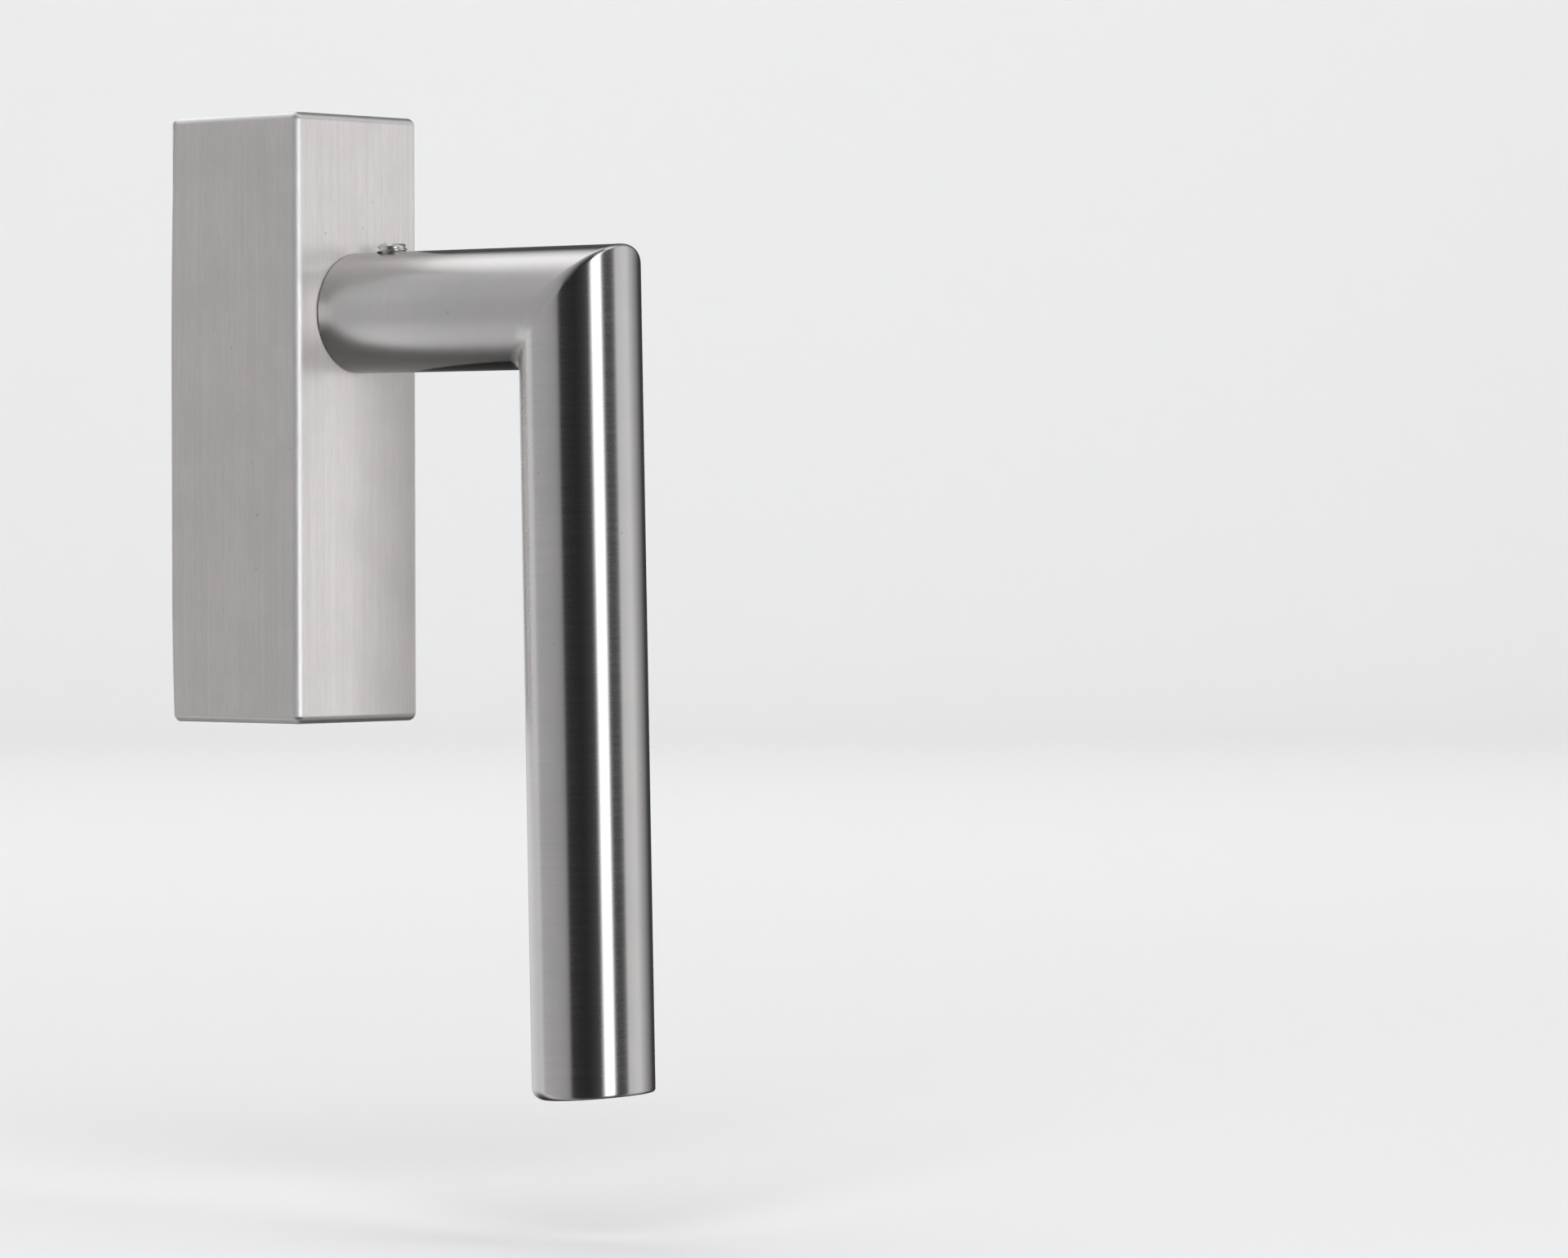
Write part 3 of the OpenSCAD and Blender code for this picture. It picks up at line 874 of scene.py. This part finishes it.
# Two countersunk holes in the underside, just clear of the screws' heads.
screws_lo, screws_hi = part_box("casing_screws")
screw_r = (screws_hi.y - screws_lo.y) / 2
sink_r = screw_r + 0.02 * MM
shaft_r = sink_r - 1.25 * MM
for side in (-1, 1):
    at = Matrix.Translation(
        (side * (screws_hi.x - screw_r), (screws_lo.y + screws_hi.y) / 2, case_lo.z)
    )
    cut(
        casing,
        turned(
            "screw_hole",
            [
                (0, -1 * MM),
                (sink_r + BREAK, -1 * MM),
                (sink_r + BREAK, 0.0),
                (sink_r, 0.08 * MM),
                (shaft_r, 1.38 * MM),
                (shaft_r, 2.2 * MM),
                (0, 2.2 * MM),
            ],
            64,
            at,
        ),
    )

# The hook that hangs the cover on the base plate's upper edge.
inner_top = case_hi.z - WALL
hook_low = (-6 * MM, -1.6 * MM, inner_top - 1.4 * MM)
hook_high = (6 * MM, -0.3 * MM, inner_top + 0.3 * MM)
cut(casing, block("hook", hook_low, hook_high), "UNION")
clean(casing, 35)

FACING = 0.71
layer = casing.data.uv_layers.new(name="brush")
for polygon in casing.data.polygons:
    n = polygon.normal
    for loop in polygon.loop_indices:
        co = casing.data.vertices[casing.data.loops[loop].vertex_index].co
        if abs(n.z) > FACING:
            layer.data[loop].uv = (co.x + 0.3, co.y)
        elif abs(n.x) > FACING:
            layer.data[loop].uv = (co.y + 0.1, co.z)
        else:
            layer.data[loop].uv = (co.x, co.z)
flatten = casing.modifiers.new("flat_faces", "WEIGHTED_NORMAL")
flatten.weight = 100
flatten.keep_sharp = True
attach(casing, "gear_case")
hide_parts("casing")


# ---- Camera ----

CAMERA_AZIMUTH = math.radians(49.697)
CAMERA_PITCH = math.radians(0.873)
CAMERA_ROLL = math.radians(-0.104)
CAMERA_AT = Vector((-832.8, -828.5, -35.03)) * MM
CAMERA_LENS = 159.0

level_forward = Vector((math.sin(CAMERA_AZIMUTH), math.cos(CAMERA_AZIMUTH), 0))
level_right = Vector((math.cos(CAMERA_AZIMUTH), -math.sin(CAMERA_AZIMUTH), 0))
forward = level_forward * math.cos(CAMERA_PITCH) - Vector((0, 0, 1)) * math.sin(CAMERA_PITCH)
above = level_right.cross(forward)
right = level_right * math.cos(CAMERA_ROLL) + above * math.sin(CAMERA_ROLL)
up = above * math.cos(CAMERA_ROLL) - level_right * math.sin(CAMERA_ROLL)
camera_data = bpy.data.cameras.new("camera")
camera_data.lens = CAMERA_LENS
camera_data.sensor_width = 36.0
camera = add_object("camera", camera_data)
camera.matrix_world = Matrix.Translation(CAMERA_AT) @ Matrix(
    (
        (right.x, up.x, -forward.x),
        (right.y, up.y, -forward.y),
        (right.z, up.z, -forward.z),
    )
).to_4x4()
bpy.context.scene.camera = camera


# ---- Studio: floor and wall in one sweep ----

SWEEP_R = 0.8
FLOOR_END = 2.6
WALL_AT = FLOOR_END + SWEEP_R

floor_z = cad_box[0].z - 24 * MM
bends = [math.radians(degrees) for degrees in range(6, 91, 6)]
curve = [
    (FLOOR_END + SWEEP_R * math.sin(a), SWEEP_R - SWEEP_R * math.cos(a)) for a in bends
]
profile = (
    [(distance, 0.0) for distance in (-4.0, -2.0, 0.0, 1.5, FLOOR_END)]
    + curve
    + [(WALL_AT, 1.5), (WALL_AT, 4.0)]
)
sweep = [
    [
        level_forward * distance + level_right * side + Vector((0, 0, floor_z + height))
        for side in (-5.0, -2.0, 0.0, 2.0, 5.0)
    ]
    for distance, height in profile
]
pale = new_material("pale_backdrop")
finish_material(pale, {"Base Color": (0.86, 0.862, 0.865, 1.0), "Roughness": 0.9})
backdrop = grid_object("studio_sweep", sweep, pale, wrap=False)
for polygon in backdrop.data.polygons:
    polygon.use_smooth = True
backdrop.visible_glossy = False


# ---- Studio: what the steel reflects ----

# Five rings of light, one above the other. Each is a list of (degrees round the
# vertical, where 0 is the camera's side, and brightness).
HORIZON = [
    (-180, 0.15),
    (-168, 0.50),
    (-160, 0.80),
    (-140, 0.92),
    (-109, 0.88),
    (-100, 0.52),
    (-66, 0.50),
    (-50, 0.47),
    (-43, 0.42),
    (-38, 0.025),
    (-8, 0.02),
    (8, 0.06),
    (17, 0.10),
    (21, 0.60),
    (25, 3.6),
    (40, 3.6),
    (44, 0.40),
    (49, 0.045),
    (63, 0.045),
    (68, 0.15),
    (73, 0.90),
    (100, 1.00),
    (112, 0.70),
    (124, 0.46),
    (137, 0.22),
    (147, 0.07),
    (165, 0.05),
    (180, 0.15),
]
UPPER = [
    (-180, 0.06),
    (-170, 0.06),
    (-161, 0.90),
    (-143, 1.50),
    (-124, 1.40),
    (-112, 0.95),
    (-103, 0.50),
    (-92, 0.55),
    (-80, 0.62),
    (-55, 0.45),
    (-36, 0.06),
    (0, 0.05),
    (16, 0.10),
    (24, 0.9),
    (39, 0.9),
    (48, 0.08),
    (62, 0.10),
    (75, 0.7),
    (100, 0.9),
    (130, 0.3),
    (150, 0.06),
    (180, 0.06),
]
LOWER = [
    (-180, 0.01),
    (-150, 0.01),
    (-130, 0.02),
    (-119, 0.10),
    (-111, 0.85),
    (-100, 0.90),
    (-85, 0.58),
    (-52, 0.35),
    (-38, 0.05),
    (0, 0.03),
    (60, 0.08),
    (75, 0.4),
    (100, 0.6),
    (130, 0.15),
    (150, 0.03),
    (180, 0.01),
]
ZENITH = [
    (-180, 0.06),
    (-170, 0.06),
    (-161, 0.90),
    (-143, 1.50),
    (-124, 1.40),
    (-112, 0.95),
    (-103, 0.50),
    (-80, 0.62),
    (-55, 0.45),
    (-30, 0.06),
    (20, 0.06),
    (38, 0.20),
    (52, 1.50),
    (72, 1.50),
    (88, 0.45),
    (120, 0.30),
    (145, 0.06),
    (180, 0.06),
]
GROUND = [
    (-180, 0.12),
    (-165, 0.03),
    (-150, 0.02),
    (-119, 0.02),
    (-109, 0.80),
    (-85, 0.55),
    (-52, 0.30),
    (-30, 0.13),
    (60, 0.13),
    (100, 0.15),
    (125, 0.06),
    (165, 0.06),
    (180, 0.12),
]

# Heights of a ray, from -1 down to 1 up, between which one ring fades into the next.
HORIZON_TO_UPPER = (0.12, 0.42)
UPPER_TO_ZENITH = (0.5, 0.68)
HORIZON_TO_LOWER = (-0.12, -0.42)
LOWER_TO_GROUND = (-0.55, -0.85)
BLUE_SHARE = 1.01

world = bpy.data.worlds.new("studio")
bpy.context.scene.world = world
world.use_nodes = True
tree = world.node_tree
tree.nodes.clear()
ray = add_node(tree, "ShaderNodeTexCoord").outputs["Generated"]
azimuth = calc(
    tree,
    "ARCTAN2",
    dot(tree, ray, tuple(level_right)),
    calc(tree, "MULTIPLY", dot(tree, ray, tuple(level_forward)), -1.0),
)
turn_share = calc(tree, "MULTIPLY_ADD", azimuth, 0.5 / math.pi, 0.5)


def light_ring(stops):
    """Brightness of a ray by its direction round the vertical."""
    made = add_node(tree, "ShaderNodeValToRGB", {"Fac": turn_share})
    ramp = made.color_ramp
    ramp.interpolation = "LINEAR"
    while len(ramp.elements) > 1:
        ramp.elements.remove(ramp.elements[-1])
    for index, (degrees, value) in enumerate(stops):
        position = degrees / 360 + 0.5
        element = ramp.elements[0] if index == 0 else ramp.elements.new(position)
        element.position = position
        element.color = (value, value, value * BLUE_SHARE, 1.0)
    return made.outputs["Color"]


def faded(lower, limits, upper):
    """One ring's light fading into another's as the ray's height passes the limits."""
    return mix_colour(tree, remap(tree, ray_height, *limits), lower, upper)


ray_height = dot(tree, ray, (0.0, 0.0, 1.0))
overhead = faded(light_ring(UPPER), UPPER_TO_ZENITH, light_ring(ZENITH))
above_level = faded(light_ring(HORIZON), HORIZON_TO_UPPER, overhead)
below_level = faded(light_ring(LOWER), LOWER_TO_GROUND, light_ring(GROUND))
everywhere = faded(above_level, HORIZON_TO_LOWER, below_level)
background = add_node(tree, "ShaderNodeBackground", {"Color": everywhere, "Strength": 1.0})
add_node(tree, "ShaderNodeOutputWorld", {"Surface": background.outputs["Background"]})


# ---- Studio: lamps for the backdrop, which the steel does not reflect ----


def soft_light(name, at, towards, size, power):
    data = bpy.data.lights.new(name, "AREA")
    data.shape = "RECTANGLE"
    data.size, data.size_y = size
    data.energy = power
    made = add_object(name, data)
    made.location = at
    made.rotation_euler = (towards - at).to_track_quat("-Z", "Y").to_euler()
    made.visible_glossy = False


middle = Vector((0, 0, -0.05))
wall = level_forward * WALL_AT + Vector((0, 0, 0.3))
wall_lamp = level_forward * 1.2 + Vector((0, 0, 2.0))
soft_light("overhead", Vector((0.4, 0.6, 2.6)), middle, (3.0, 3.0), 12.0)
soft_light("front_fill", Vector((-1.8, -1.6, 1.2)), middle, (2.0, 2.0), 60.0)
soft_light("wall_wash", wall_lamp, wall, (2.5, 1.0), 20.0)

bpy.context.scene.view_settings.view_transform = "Standard"
